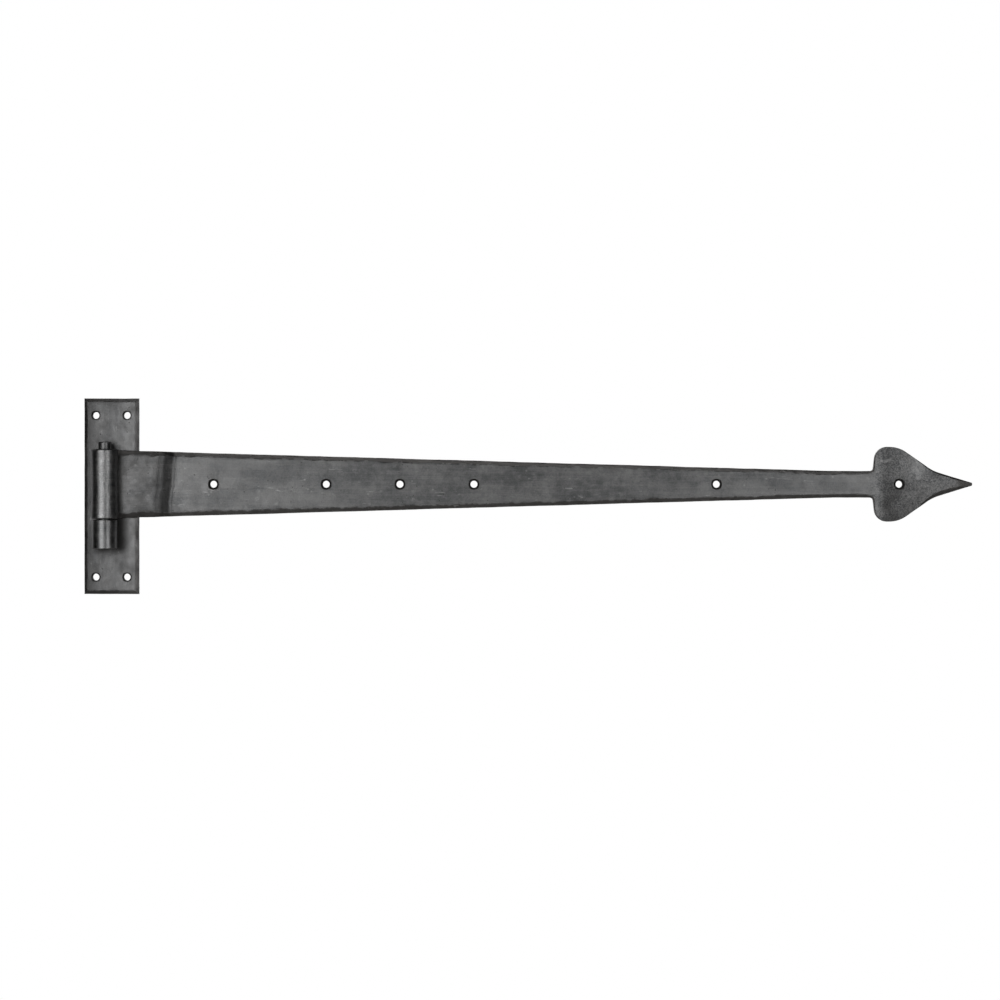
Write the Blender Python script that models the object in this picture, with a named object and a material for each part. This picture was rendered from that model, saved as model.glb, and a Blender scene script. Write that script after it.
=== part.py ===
"""A forged strap hinge: a tapered band whose rolled eye hangs on a hook.

The hook is a screwed back plate, a knuckle bent from strip and riveted through
the plate, and a pintle pin that stands in the knuckle.  The band is lifted on
to the pin and swings round it.

Frame, in metres: +Z runs up the pin, +X along the band to its point, and -Y
out from the wall.  The origin is on the back of the plate, behind the pin's
axis, at half the plate's height.  The hinge is modelled shut, with the band's
back in line with the back of the plate.
"""

import math

import bmesh
import bpy
from mathutils import Matrix, Vector

# --- Driving dimensions ----------------------------------------------------

FIT = 0.0003  # gap between pieces that seat on, or pass through, each other

PLATE_WIDTH = 0.0380
PLATE_HEIGHT = 0.1360
PLATE_THICKNESS = 0.0050
PLATE_OFFSET = 0.0032  # the plate's middle, to the band's side of the pin
PLATE_CHAMFER_WIDTH = 0.0022
PLATE_CHAMFER_DEPTH = 0.0013
PLATE_HOLE_FROM_SIDE = 0.0082
PLATE_HOLE_FROM_END = 0.0119

SCREW_HOLE_RADIUS = 0.0025
COUNTERSINK_RADIUS = 0.0035
COUNTERSINK_DEPTH = 0.0010

PIN_RADIUS = 0.0045
PIN_ABOVE_EYE = 0.0051
PIN_CHAMFER = 0.0006

KNUCKLE_THICKNESS = 0.0038
KNUCKLE_HEIGHT = 0.0203
KNUCKLE_FOOT = 0.0364  # the knuckle's foot, below the plate's middle
KNUCKLE_EDGE = 0.0006
KNUCKLE_BORE_EDGE = 0.0003
TAIL_BEND_RADIUS = 0.0025  # where the loop turns back into its two tails

EYE_HEIGHT = 0.0483
EYE_EDGE = 0.0009
EYE_TO_PLATE = 0.0007  # what the eye clears the plate's face by
ROLL_SEAM = 0.0004  # between the rolled end and the band it closes on
ROLL_SCARF = 0.0022  # how far the rolled end is drawn out to a wedge
ROLL_SCARF_REACH = 0.0060  # the stretch of the bar that is drawn out for it

BAND_LENGTH = 0.6100  # from the eye's outer side to the point
BAND_THICKNESS = 0.0045
BAND_ROOT_WIDTH = 0.0475
BAND_END_WIDTH = 0.0190
BAND_BACK_EDGE = 0.0004
ROOT_CHAMFER_WIDTH = 0.0032
END_CHAMFER_WIDTH = 0.0025
BAND_CHAMFER_DEPTH = 0.0017
STEP_FROM_PLATE = 0.0119  # from the plate's edge to where the band steps back
STEP_RUN = 0.0132
STEP_BEND_RADIUS = 0.0080
BAND_HOLES = (0.0739, 0.1521, 0.2033, 0.2547, 0.4231)  # from the pin's axis

NECK_LENGTH = 0.0278  # the parallel stretch before the finial
NECK_FILLET = 0.0020
FINIAL_LENGTH = 0.0691
FINIAL_WIDTH = 0.0522
FINIAL_SHOULDER_RUN = 0.0019
FINIAL_SHOULDER_RADIUS = 0.0090
FINIAL_BELLY = 0.0178  # from the neck to where the sides begin to draw in
FINIAL_BELLY_RADIUS = 0.0200
FINIAL_WAIST = 0.0417  # from the neck to where the sides sweep out to the point
FINIAL_WAIST_WIDTH = 0.0191
FINIAL_WAIST_RADIUS = 0.0300
FINIAL_TIP_WIDTH = 0.0020
FINIAL_TIP_RADIUS = 0.0009
FINIAL_CHAMFER = 0.0006
FINIAL_HOLE_FROM_TIP = 0.0508

# --- Facets ------------------------------------------------------------------

ARC_STEP = math.radians(8)
KNUCKLE_ARC_STEP = math.radians(15)
PIN_SIDES = 40
HOLE_SIDES = 24
CUT_MARGIN = 0.001  # how far a cutter stands out of the metal it cuts

# --- Sizes and places that follow --------------------------------------------

BORE_RADIUS = PIN_RADIUS + FIT
EYE_RADIUS = BORE_RADIUS + BAND_THICKNESS
PIN_Y = -(PLATE_THICKNESS + EYE_TO_PLATE + EYE_RADIUS)

KNUCKLE_BOTTOM = -KNUCKLE_FOOT
KNUCKLE_TOP = KNUCKLE_BOTTOM + KNUCKLE_HEIGHT
EYE_BOTTOM = KNUCKLE_TOP + FIT
BAND_Z = EYE_BOTTOM + EYE_HEIGHT / 2
PIN_TOP = EYE_BOTTOM + EYE_HEIGHT + PIN_ABOVE_EYE

PLATE_FRONT = -PLATE_THICKNESS
PLATE_SIDE = PLATE_OFFSET + PLATE_WIDTH / 2
STEP_START = PLATE_SIDE + STEP_FROM_PLATE
TIP_X = BAND_LENGTH - EYE_RADIUS


# --- Paths of straight and bent stretches -----------------------------------


class Path:
    """A flat path from a start and heading, as stretches of (length, curvature)."""

    def __init__(self, start, heading, stretches, arc_step=ARC_STEP):
        self.start = Vector(start)
        self.heading = heading
        self.stretches = stretches
        self.arc_step = arc_step
        self.length = sum(length for length, _ in stretches)

    @staticmethod
    def advance(point, heading, length, curvature):
        """The point and heading after one stretch; a bend turns left when positive."""
        turn = length * curvature
        middle = heading + turn / 2
        chord = length if turn == 0 else 2 * math.sin(turn / 2) / curvature
        step = Vector((math.cos(middle), math.sin(middle))) * chord
        return point + step, heading + turn

    def at(self, distance):
        """The point and heading at a distance; past an end, its stretch runs on."""
        point, heading = self.start, self.heading
        for length, curvature in self.stretches[:-1]:
            if distance <= length:
                return self.advance(point, heading, distance, curvature)
            point, heading = self.advance(point, heading, length, curvature)
            distance -= length
        return self.advance(point, heading, distance, self.stretches[-1][1])

    def joints(self):
        """Distances of the ends of its stretches and of the facets in its bends."""
        found, travelled = [0.0], 0.0
        for length, curvature in self.stretches:
            parts = max(1, math.ceil(abs(length * curvature) / self.arc_step))
            found += [travelled + length * (k + 1) / parts for k in range(parts)]
            travelled += length
        return found


def rounded(corners):
    """A polyline with each (x, y, radius) corner turned into an arc.

    Gives (point, heading) pairs.  A corner with no radius is one point, which
    takes the heading that halves its turn.
    """
    points = [Vector(corner[:2]) for corner in corners]
    ways = [(b - a).normalized() for a, b in zip(points, points[1:])]
    headings = [math.atan2(way.y, way.x) for way in ways]
    found = [(points[0], headings[0])]
    for k, (point, corner) in enumerate(zip(points[1:-1], corners[1:-1])):
        turn = headings[k + 1] - headings[k]
        radius = corner[2]
        if radius == 0 or abs(turn) < 1e-6:
            found.append((point, headings[k] + turn / 2))
            continue
        tangent = radius * math.tan(abs(turn) / 2)
        arc = Path(
            point - ways[k] * tangent,
            headings[k],
            [(radius * abs(turn), math.copysign(1 / radius, turn))],
        )
        found += [arc.at(distance) for distance in arc.joints()]
    found.append((points[-1], headings[-1]))
    return found


def s_bend(depth, run, radius):
    """Stretches of a step sideways: a left bend, a straight and a right bend."""
    reach = math.hypot(run, 2 * radius - depth)
    angle = math.asin(2 * radius / reach) - math.atan2(2 * radius - depth, run)
    straight = (run - 2 * radius * math.sin(angle)) / math.cos(angle)
    bend = radius * angle
    return [(bend, 1 / radius), (straight, 0.0), (bend, -1 / radius)]


# --- Bars swept along a path -------------------------------------------------


def blend(pairs, distance):
    """The value at a distance, straight between (distance, value) pairs."""
    if distance <= pairs[0][0]:
        return pairs[0][1]
    for (d0, v0), (d1, v1) in zip(pairs, pairs[1:]):
        if distance <= d1:
            return v0 + (v1 - v0) * (distance - d0) / (d1 - d0)
    return pairs[-1][1]


def merged(distances, least=1e-5):
    """Sorted distances, without those that repeat the one before."""
    kept = []
    for distance in sorted(distances):
        if not kept or distance - kept[-1] > least:
            kept.append(distance)
    return kept


def swept_bar(path, outline, thickness, left_edge, right_edge, scarf=(0.0, 1.0)):
    """A flat bar bent along a path, as a bmesh; its width stands along Z.

    outline holds the (point, heading) pairs of the bar's upper edge, as
    (distance along the path, half width).  left_edge and right_edge give the
    edge chamfers of the face on the path's left and right, as a function of
    distance with (width, depth).  scarf is how far the right face is drawn out
    past the path's start, so that the end is a wedge, and the stretch of bar
    that this takes.
    """
    widths = [(point.x, point.y) for point, _ in outline]
    slopes = [(point.x, heading) for point, heading in outline]
    first, last = widths[0][0], widths[-1][0]
    stations = merged(
        [d for d in path.joints() if first <= d <= last] + [d for d, _ in widths]
    )
    bar = bmesh.new()
    rings = []
    draw, reach = scarf
    for station in stations:
        half, slope = blend(widths, station), blend(slopes, station)
        drawn = draw * max(0.0, 1 - (station - first) / reach)
        left_width, left_depth = left_edge(station)
        right_width, right_depth = right_edge(station)
        section = (
            (thickness / 2, left_width),
            (thickness / 2 - left_depth, 0.0),
            (-thickness / 2 + right_depth, 0.0),
            (-thickness / 2, right_width),
        )
        upper, lower = [], []
        for offset, inset in section:
            back = drawn * (0.5 - offset / thickness)
            point, heading = path.at(station + inset * math.sin(slope) - back)
            x = point.x - offset * math.sin(heading)
            y = point.y + offset * math.cos(heading)
            z = half - inset * math.cos(slope)
            upper.append(bar.verts.new((x, y, z)))
            lower.append(bar.verts.new((x, y, -z)))
        rings.append(upper + lower[::-1])
    for ring, following in zip(rings, rings[1:]):
        for k in range(len(ring)):
            after = (k + 1) % len(ring)
            bar.faces.new((ring[k], ring[after], following[after], following[k]))
    for ring in (rings[0], rings[-1]):
        for k in range(3):
            bar.faces.new((ring[k], ring[k + 1], ring[6 - k], ring[7 - k]))
    bmesh.ops.recalc_face_normals(bar, faces=bar.faces)
    return bar


# --- Turned and slab shapes ----------------------------------------------------


def turned(profile, sides, mesh=None, place=Matrix()):
    """A solid turned about Z from (radius, height) points, added to a bmesh."""
    mesh = mesh or bmesh.new()
    rings = []
    for radius, height in profile:
        turns = [2 * math.pi * k / sides for k in range(sides)]
        points = [(radius * math.cos(a), radius * math.sin(a), height) for a in turns]
        rings.append([mesh.verts.new(place @ Vector(point)) for point in points])
    made = [mesh.faces.new(rings[0]), mesh.faces.new(rings[-1])]
    for ring, following in zip(rings, rings[1:]):
        for k in range(sides):
            after = (k + 1) % sides
            quad = (ring[k], ring[after], following[after], following[k])
            made.append(mesh.faces.new(quad))
    bmesh.ops.recalc_face_normals(mesh, faces=made)
    return mesh


def chamfered_slab(width, height, thickness, chamfer_width, chamfer_depth):
    """A slab with its back on y = 0 and its front edges chamfered, as a bmesh."""
    slab = bmesh.new()
    layers = (
        (0.0, 0.0),
        (-thickness + chamfer_depth, 0.0),
        (-thickness, chamfer_width),
    )
    rings = []
    for y, inset in layers:
        x, z = width / 2 - inset, height / 2 - inset
        corners = ((-x, y, -z), (x, y, -z), (x, y, z), (-x, y, z))
        rings.append([slab.verts.new(corner) for corner in corners])
    slab.faces.new(rings[0])
    slab.faces.new(rings[-1])
    for ring, following in zip(rings, rings[1:]):
        for k in range(4):
            after = (k + 1) % 4
            slab.faces.new((ring[k], ring[after], following[after], following[k]))
    bmesh.ops.recalc_face_normals(slab, faces=slab.faces)
    return slab


def screw_holes(places, front, back, sink_radius):
    """Cutters for round holes along Y at (x, z) places, flared at the front."""
    cutters = bmesh.new()
    towards_front = Matrix.Rotation(math.radians(90), 4, "X")
    near, far = -front + CUT_MARGIN, -back - CUT_MARGIN
    flare = sink_radius - SCREW_HOLE_RADIUS
    profile = [(SCREW_HOLE_RADIUS, far)]
    if flare > 0:
        slope = flare / COUNTERSINK_DEPTH
        mouth = sink_radius + slope * CUT_MARGIN
        profile += [(SCREW_HOLE_RADIUS, -front - COUNTERSINK_DEPTH), (mouth, near)]
    else:
        profile += [(SCREW_HOLE_RADIUS, near)]
    for x, z in places:
        place = Matrix.Translation((x, 0, z)) @ towards_front
        turned(profile, HOLE_SIDES, cutters, place)
    return cutters


# --- Objects and finishes ------------------------------------------------------


def steel(name, colour, roughness):
    """A Principled material for a dark forged steel."""
    material = bpy.data.materials.new(name)
    material.use_nodes = True
    shader = material.node_tree.nodes["Principled BSDF"]
    shader.inputs["Base Color"].default_value = (*colour, 1.0)
    shader.inputs["Roughness"].default_value = roughness
    shader.inputs["Metallic"].default_value = 1.0
    return material


def make_object(name, mesh, material=None, parent=None, location=(0, 0, 0)):
    """An object from a bmesh, smooth but for its sharp edges."""
    data = bpy.data.meshes.new(name)
    mesh.to_mesh(data)
    mesh.free()
    data.shade_smooth()
    data.set_sharp_from_angle(angle=math.radians(25))
    made = bpy.data.objects.new(name, data)
    bpy.context.scene.collection.objects.link(made)
    made.location = location
    made.parent = parent
    if material:
        data.materials.append(material)
    return made


def make_empty(name, location, parent=None):
    """A marker that pieces hang from."""
    made = bpy.data.objects.new(name, None)
    made.empty_display_size = 0.02
    bpy.context.scene.collection.objects.link(made)
    made.location = location
    made.parent = parent
    return made


def cut(piece, name, mesh):
    """Cuts a mesh, given in the piece's own coordinates, out of the piece."""
    cutter = make_object(name, mesh, parent=piece)
    cutter.hide_render = True
    cutter.display_type = "WIRE"
    boolean = piece.modifiers.new(name, "BOOLEAN")
    boolean.operation = "DIFFERENCE"
    boolean.solver = "EXACT"
    boolean.object = cutter


# --- The pieces ------------------------------------------------------------------


def knuckle_path():
    """Down one tail, out round the pin and back along the other tail.

    The two tails lie side by side on the plate's normal.  Each turns outwards
    on a small bend that meets the loop on the line between their centres.
    """
    loop_radius = BORE_RADIUS + KNUCKLE_THICKNESS / 2
    tail_x = KNUCKLE_THICKNESS / 2 + FIT / 2
    across = tail_x + TAIL_BEND_RADIUS
    along = math.sqrt((loop_radius + TAIL_BEND_RADIUS) ** 2 - across**2)
    turn = math.atan2(along, across)
    tail = (-PIN_Y - along, 0.0)
    bend = (TAIL_BEND_RADIUS * turn, -1 / TAIL_BEND_RADIUS)
    loop = (loop_radius * (math.pi + 2 * turn), 1 / loop_radius)
    stretches = [tail, bend, loop, bend, tail]
    return Path((-tail_x, 0.0), math.radians(-90), stretches, KNUCKLE_ARC_STEP)


def knuckle():
    """A strip bent into a keyhole loop, with its tails through the plate."""
    path = knuckle_path()
    half = KNUCKLE_HEIGHT / 2
    outline = rounded([(0.0, half, 0.0), (path.length, half, 0.0)])
    return swept_bar(
        path,
        outline,
        KNUCKLE_THICKNESS,
        left_edge=lambda distance: (KNUCKLE_BORE_EDGE, KNUCKLE_BORE_EDGE),
        right_edge=lambda distance: (KNUCKLE_EDGE, KNUCKLE_EDGE),
    )


def band_path():
    """Round the eye from its rolled end, then along the band to the point."""
    roll_radius = BORE_RADIUS + BAND_THICKNESS / 2
    end_angle = math.asin((BORE_RADIUS - ROLL_SEAM) / EYE_RADIUS)
    start = (
        roll_radius * math.cos(end_angle),
        roll_radius * math.sin(end_angle),
    )
    roll = (roll_radius * (end_angle + math.radians(270)), -1 / roll_radius)
    depth = PLATE_THICKNESS + EYE_TO_PLATE
    step = s_bend(depth, STEP_RUN, STEP_BEND_RADIUS)
    flat = TIP_X - STEP_START - STEP_RUN
    stretches = [roll, (STEP_START, 0.0), *step, (flat, 0.0)]
    return Path(start, end_angle - math.radians(90), stretches)


def band():
    """The whole band as one bar: rolled eye, step, taper, neck and finial."""
    path = band_path()
    roll_end = path.stretches[0][0]
    flat_start = path.length - (TIP_X - STEP_START - STEP_RUN)
    eye_side = roll_end - (BORE_RADIUS + BAND_THICKNESS / 2) * math.pi / 2
    root = roll_end + EYE_RADIUS
    neck = path.length - FINIAL_LENGTH
    taper_end = neck - NECK_LENGTH
    outline = rounded(
        [
            (0.0, EYE_HEIGHT / 2, 0.0),
            (eye_side, EYE_HEIGHT / 2, 0.0),
            (root, BAND_ROOT_WIDTH / 2, 0.0),
            (taper_end, BAND_END_WIDTH / 2, 0.0),
            (neck, BAND_END_WIDTH / 2, NECK_FILLET),
            (neck + FINIAL_SHOULDER_RUN, FINIAL_WIDTH / 2, FINIAL_SHOULDER_RADIUS),
            (neck + FINIAL_BELLY, FINIAL_WIDTH / 2, FINIAL_BELLY_RADIUS),
            (neck + FINIAL_WAIST, FINIAL_WAIST_WIDTH / 2, FINIAL_WAIST_RADIUS),
            (path.length, FINIAL_TIP_WIDTH / 2, FINIAL_TIP_RADIUS),
            (path.length, 0.0, 0.0),
        ]
    )[:-1]
    front_width = [
        (roll_end, BAND_BACK_EDGE),
        (root, ROOT_CHAMFER_WIDTH),
        (taper_end, END_CHAMFER_WIDTH),
        (neck - FINIAL_CHAMFER, END_CHAMFER_WIDTH),
        (neck + FINIAL_CHAMFER, FINIAL_CHAMFER),
    ]
    front_depth = [
        (roll_end, BAND_BACK_EDGE),
        (root, BAND_CHAMFER_DEPTH),
        (neck - FINIAL_CHAMFER, BAND_CHAMFER_DEPTH),
        (neck + FINIAL_CHAMFER, FINIAL_CHAMFER),
    ]
    back = [(eye_side, EYE_EDGE), (flat_start, BAND_BACK_EDGE)]
    return swept_bar(
        path,
        outline,
        BAND_THICKNESS,
        left_edge=lambda distance: (blend(back, distance),) * 2,
        right_edge=lambda distance: (
            blend(front_width, distance),
            blend(front_depth, distance),
        ),
        scarf=(ROLL_SCARF, ROLL_SCARF_REACH),
    )


def plate_hole_places():
    """The plate's four screw holes, from its middle."""
    x = PLATE_WIDTH / 2 - PLATE_HOLE_FROM_SIDE
    z = PLATE_HEIGHT / 2 - PLATE_HOLE_FROM_END
    return [(side * x, end * z) for side in (-1, 1) for end in (-1, 1)]


def make_back_plate():
    """The plate, with its screw holes and the slot for the knuckle's tails."""
    slab = chamfered_slab(
        PLATE_WIDTH,
        PLATE_HEIGHT,
        PLATE_THICKNESS,
        PLATE_CHAMFER_WIDTH,
        PLATE_CHAMFER_DEPTH,
    )
    finish = steel("plate_steel", (0.125, 0.125, 0.130), 0.50)
    plate = make_object("back_plate", slab, finish, location=(PLATE_OFFSET, 0, 0))
    holes = screw_holes(plate_hole_places(), PLATE_FRONT, 0.0, SCREW_HOLE_RADIUS)
    cut(plate, "plate_hole_cutter", holes)
    slot_width = 2 * KNUCKLE_THICKNESS + 3 * FIT
    slot_height = KNUCKLE_HEIGHT + 2 * FIT
    slot = bmesh.new()
    size = Matrix.Diagonal(
        (slot_width, PLATE_THICKNESS + 2 * CUT_MARGIN, slot_height, 1)
    )
    middle = (
        -PLATE_OFFSET,
        PLATE_FRONT / 2,
        KNUCKLE_BOTTOM + KNUCKLE_HEIGHT / 2,
    )
    bmesh.ops.create_cube(slot, size=1, matrix=Matrix.Translation(middle) @ size)
    cut(plate, "plate_slot_cutter", slot)
    return plate


def make_knuckle_loop():
    """The knuckle, seated with its tails flush in the back of the plate."""
    finish = steel("knuckle_steel", (0.120, 0.120, 0.125), 0.42)
    middle = (0, 0, KNUCKLE_BOTTOM + KNUCKLE_HEIGHT / 2)
    return make_object("knuckle_loop", knuckle(), finish, location=middle)


def make_pintle_pin(axis):
    """The pin, from the knuckle's foot to above the eye."""
    foot = KNUCKLE_BOTTOM
    profile = [
        (PIN_RADIUS - PIN_CHAMFER, foot),
        (PIN_RADIUS, foot + PIN_CHAMFER),
        (PIN_RADIUS, PIN_TOP - PIN_CHAMFER),
        (PIN_RADIUS - PIN_CHAMFER, PIN_TOP),
    ]
    finish = steel("pin_steel", (0.150, 0.150, 0.155), 0.36)
    return make_object("pintle_pin", turned(profile, PIN_SIDES), finish, axis)


def make_band(axis):
    """The band, hung on the pin, with its countersunk screw holes."""
    finish = steel("band_steel", (0.110, 0.110, 0.115), 0.46)
    piece = make_object("band", band(), finish, axis, (0, 0, BAND_Z))
    back = -PIN_Y
    places = [(x, 0) for x in (*BAND_HOLES, TIP_X - FINIAL_HOLE_FROM_TIP)]
    holes = screw_holes(places, back - BAND_THICKNESS, back, COUNTERSINK_RADIUS)
    cut(piece, "band_hole_cutter", holes)
    return piece


def main():
    """Clears the scene and builds the hinge."""
    for old in list(bpy.data.objects):
        bpy.data.objects.remove(old)
    make_back_plate()
    make_knuckle_loop()
    axis = make_empty("pin_axis", (0, PIN_Y, 0))
    make_pintle_pin(axis)
    make_band(axis)


main()
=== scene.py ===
"""Looks of a forged strap hinge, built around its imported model.

Four forgings: the band with its rolled eye, step and leaf point, the back
plate, the knuckle bent round the pin's foot, and the pin.  Each bar is worked
out flat, as (along the bar, through its thickness, across it), then bent along
its path, and hammered.  Lengths are in metres.
"""

import math

import bmesh
import bpy
import numpy as np
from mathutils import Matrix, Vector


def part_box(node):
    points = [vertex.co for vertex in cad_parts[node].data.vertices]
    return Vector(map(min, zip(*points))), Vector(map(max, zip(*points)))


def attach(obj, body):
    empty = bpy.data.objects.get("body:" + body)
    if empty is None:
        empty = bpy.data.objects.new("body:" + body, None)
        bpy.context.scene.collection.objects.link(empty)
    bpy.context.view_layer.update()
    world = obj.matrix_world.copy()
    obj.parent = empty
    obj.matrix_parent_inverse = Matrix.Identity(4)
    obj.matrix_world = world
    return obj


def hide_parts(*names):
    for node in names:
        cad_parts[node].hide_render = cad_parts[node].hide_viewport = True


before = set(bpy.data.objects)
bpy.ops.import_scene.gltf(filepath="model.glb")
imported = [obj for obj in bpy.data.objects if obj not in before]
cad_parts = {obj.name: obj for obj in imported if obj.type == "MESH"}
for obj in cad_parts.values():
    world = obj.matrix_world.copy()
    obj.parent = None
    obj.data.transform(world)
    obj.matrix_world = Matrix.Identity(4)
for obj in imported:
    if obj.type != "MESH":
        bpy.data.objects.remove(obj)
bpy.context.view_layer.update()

# --- Sizes, from the model's boxes and the stock ---

PLATE_LOW, PLATE_HIGH = map(np.array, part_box("back_plate"))
LOOP_LOW, LOOP_HIGH = map(np.array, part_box("knuckle_loop"))
PIN_LOW, PIN_HIGH = map(np.array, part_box("pintle_pin"))
BAND_LOW, BAND_HIGH = map(np.array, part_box("band"))

PIN_Y = (PIN_LOW[1] + PIN_HIGH[1]) / 2
PIN_RADIUS = (PIN_HIGH[1] - PIN_LOW[1]) / 2
BAND_Z = (BAND_LOW[2] + BAND_HIGH[2]) / 2
TIP_X = BAND_HIGH[0]
EYE_RADIUS = -BAND_LOW[0]
PLATE_THICKNESS = PLATE_HIGH[1] - PLATE_LOW[1]
LOOP_Z, LOOP_HALF = (LOOP_HIGH[2] + LOOP_LOW[2]) / 2, (LOOP_HIGH[2] - LOOP_LOW[2]) / 2

FIT = 0.0003
BORE_RADIUS = PIN_RADIUS + FIT
BAND_THICKNESS = EYE_RADIUS - BORE_RADIUS
KNUCKLE_THICKNESS = 0.0038
TAIL_BEND_RADIUS = 0.0025
SKIN = 0.00004  # every visible face lies at least this far inside the model's

EYE_HEIGHT = 0.0483
EYE_WAIST = 0.00055  # how far the eye's outside is drawn in at half its height
ROOT_WIDTH = 0.0475
END_WIDTH = 0.0190
ROLL_SEAM = 0.0004
ROLL_SCARF = 0.0022
ROLL_SCARF_REACH = 0.0060
STEP_START = PLATE_HIGH[0] + 0.0119
STEP_RUN = 0.0132
STEP_BEND_RADIUS = 0.0080
STEP_LEAN = 0.07  # how far the step leans, as a slope
BAND_HOLES = (0.0739, 0.1521, 0.2033, 0.2547, 0.4231)
FINIAL_LENGTH = 0.0691
FINIAL_HOLE_FROM_TIP = 0.0508
FINIAL_SHOULDER = 0.0019
FINIAL_BELLY = 0.0178
FINIAL_WAIST = 0.0417
FINIAL_WAIST_WIDTH = 0.0191
NECK_LENGTH = 0.0278
NECK_FILLET = 0.0020
FINIAL_WIDTH = BAND_HIGH[2] - BAND_LOW[2]
LEAF_EDGE = 0.0004
# Each side, the seed of its blows, and its chamfer's width on the strap and at the tip.
CHAMFERS = ((1, 11, 0.0034, 0.0009), (-1, 23, 0.0036, 0.0027))

PLATE_CHAMFER_WIDTH = 0.0027
PLATE_CHAMFER_DEPTH = 0.0014
PLATE_HOLE_FROM_SIDE = 0.0082
PLATE_HOLE_FROM_END = 0.0119
BROKEN_EDGE = 0.0003  # on the plate's back and inside the knuckle
SLOT_LAP = 0.0006  # how far the slot's sides bite into the tails' broken edges
PIN_BEVEL = 0.0006
PIN_SIDES = 128
HOLE_RADIUS = 0.0024  # 0.1 mm of scale and wax lies inside the drilled 5 mm
SINK_RADIUS = 0.0035
SINK_DEPTH = 0.0010
HOLE_WINDOW = 0.0046  # half the square of grid that makes way for a hole
HOLE_CELL = 0.00058
HOLE_CELLS = 2 * round(HOLE_WINDOW / HOLE_CELL)
HOLE_MARGIN = 0.0001

FLOOR = (-1.3, 1.8, -1.2, 1.2, -0.62)  # its x and y ranges, and its height

ARC_STEP = math.radians(4)
LATTICE = 64


# --- Noise ---


def noise(points, cell, seed):
    """Smooth noise from -1 to 1 at (n, 3) points.

    Seeded random values sit on a cubic lattice of that cell size, and each
    point blends its eight corners with the weight 3t^2 - 2t^3 along each axis.
    """
    table = np.random.default_rng(seed).uniform(-1, 1, (LATTICE,) * 3)
    scaled = np.asarray(points) / cell
    low = np.floor(scaled).astype(int)
    t = scaled - low
    t = t * t * (3 - 2 * t)
    total = np.zeros(len(scaled))
    for corner in np.ndindex(2, 2, 2):
        weight = np.prod(np.where(corner, t, 1 - t), axis=1)
        i, j, k = ((low + corner) % LATTICE).T
        total += weight * table[i, j, k]
    return total


def line_noise(distances, cell, seed):
    """The same noise along a line."""
    return noise(np.outer(distances, (1, 0, 0)), cell, seed)


def hammer_blows(distances, shortest, longest, seed):
    """How deep a row of hammer blows has gone, 0 to 1, at distances along an edge.

    Blows of random length follow each other.  Each is a shallow parabola,
    times its own random strength, so the edge between two blows stands proud.
    """
    rng = np.random.default_rng(seed)
    count = int((np.ptp(distances) + 2 * longest) / shortest) + 2
    ends = distances.min() - longest + np.cumsum(rng.uniform(shortest, longest, count))
    ends = np.concatenate([[distances.min() - 2 * longest], ends])
    strength = rng.uniform(0.35, 1.0, count + 1)
    index = np.clip(np.searchsorted(ends, distances) - 1, 0, count - 1)
    share = (distances - ends[index]) / (ends[index + 1] - ends[index])
    return strength[index] * (1 - (2 * share - 1) ** 2)


# --- Paths and outlines ---


def advance(point, heading, length, curvature):
    """The points and headings after a stretch; length may be an array.

    A bend turns left when its curvature is positive.  Its chord is twice the
    sine of half its turn over its curvature, at half the turn.
    """
    turn = length * curvature
    middle = heading + turn / 2
    chord = length if curvature == 0 else 2 * np.sin(turn / 2) / curvature
    x = point[0] + chord * np.cos(middle)
    y = point[1] + chord * np.sin(middle)
    return (x, y), heading + turn


def along_path(start, heading, stretches, distances):
    """Points (x, y) and headings at distances along (length, curvature) stretches.

    Before the start and past the end, the first and last stretches run on.
    """
    distances = np.asarray(distances, float)
    x, y, turned = (np.empty_like(distances) for _ in range(3))
    begun = 0.0
    point = start
    for k, (length, curvature) in enumerate(stretches):
        here = distances >= begun if k else np.ones(distances.shape, bool)
        (px, py), way = advance(point, heading, distances - begun, curvature)
        way = np.broadcast_to(way, distances.shape)
        x[here], y[here], turned[here] = px[here], py[here], way[here]
        point, heading = advance(point, heading, length, curvature)
        begun += length
    return x, y, turned


def bent(flat, start, heading, stretches, lean=0.0):
    """A flat slab's points, put along a path in plan.

    lean is how far along the path each point takes its bends late.
    """
    x, y, way = along_path(start, heading, stretches, flat[:, 0] - lean)
    x, y = x + lean - flat[:, 1] * np.sin(way), y + flat[:, 1] * np.cos(way)
    return np.stack([x, y, flat[:, 2]], 1)


def rounded(corners):
    """Points and headings of a polyline whose (x, y, radius) corners are arcs."""
    corners = np.array(corners, float)
    ways = np.diff(corners[:, :2], axis=0)
    lengths = np.hypot(*ways.T)
    headings = np.arctan2(ways[:, 1], ways[:, 0])
    ways /= lengths[:, None]
    points, turned = [corners[:1, :2]], [headings[:1]]
    for k in range(1, len(corners) - 1):
        turn, radius = headings[k] - headings[k - 1], corners[k, 2]
        if radius == 0 or abs(turn) < 1e-6:
            points.append(corners[k : k + 1, :2])
            turned.append([(headings[k] + headings[k - 1]) / 2])
            continue
        begin = corners[k, :2] - ways[k - 1] * radius * math.tan(abs(turn) / 2)
        steps = np.linspace(0, abs(turn) * radius, math.ceil(abs(turn) / ARC_STEP) + 1)
        curvature = math.copysign(1 / radius, turn)
        (x, y), way = advance(begin, headings[k - 1], steps, curvature)
        points.append(np.stack([x, y], 1))
        turned.append(way)
    points.append(corners[-1:, :2])
    turned.append(headings[-1:])
    return np.concatenate(points), np.concatenate(turned)


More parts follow.
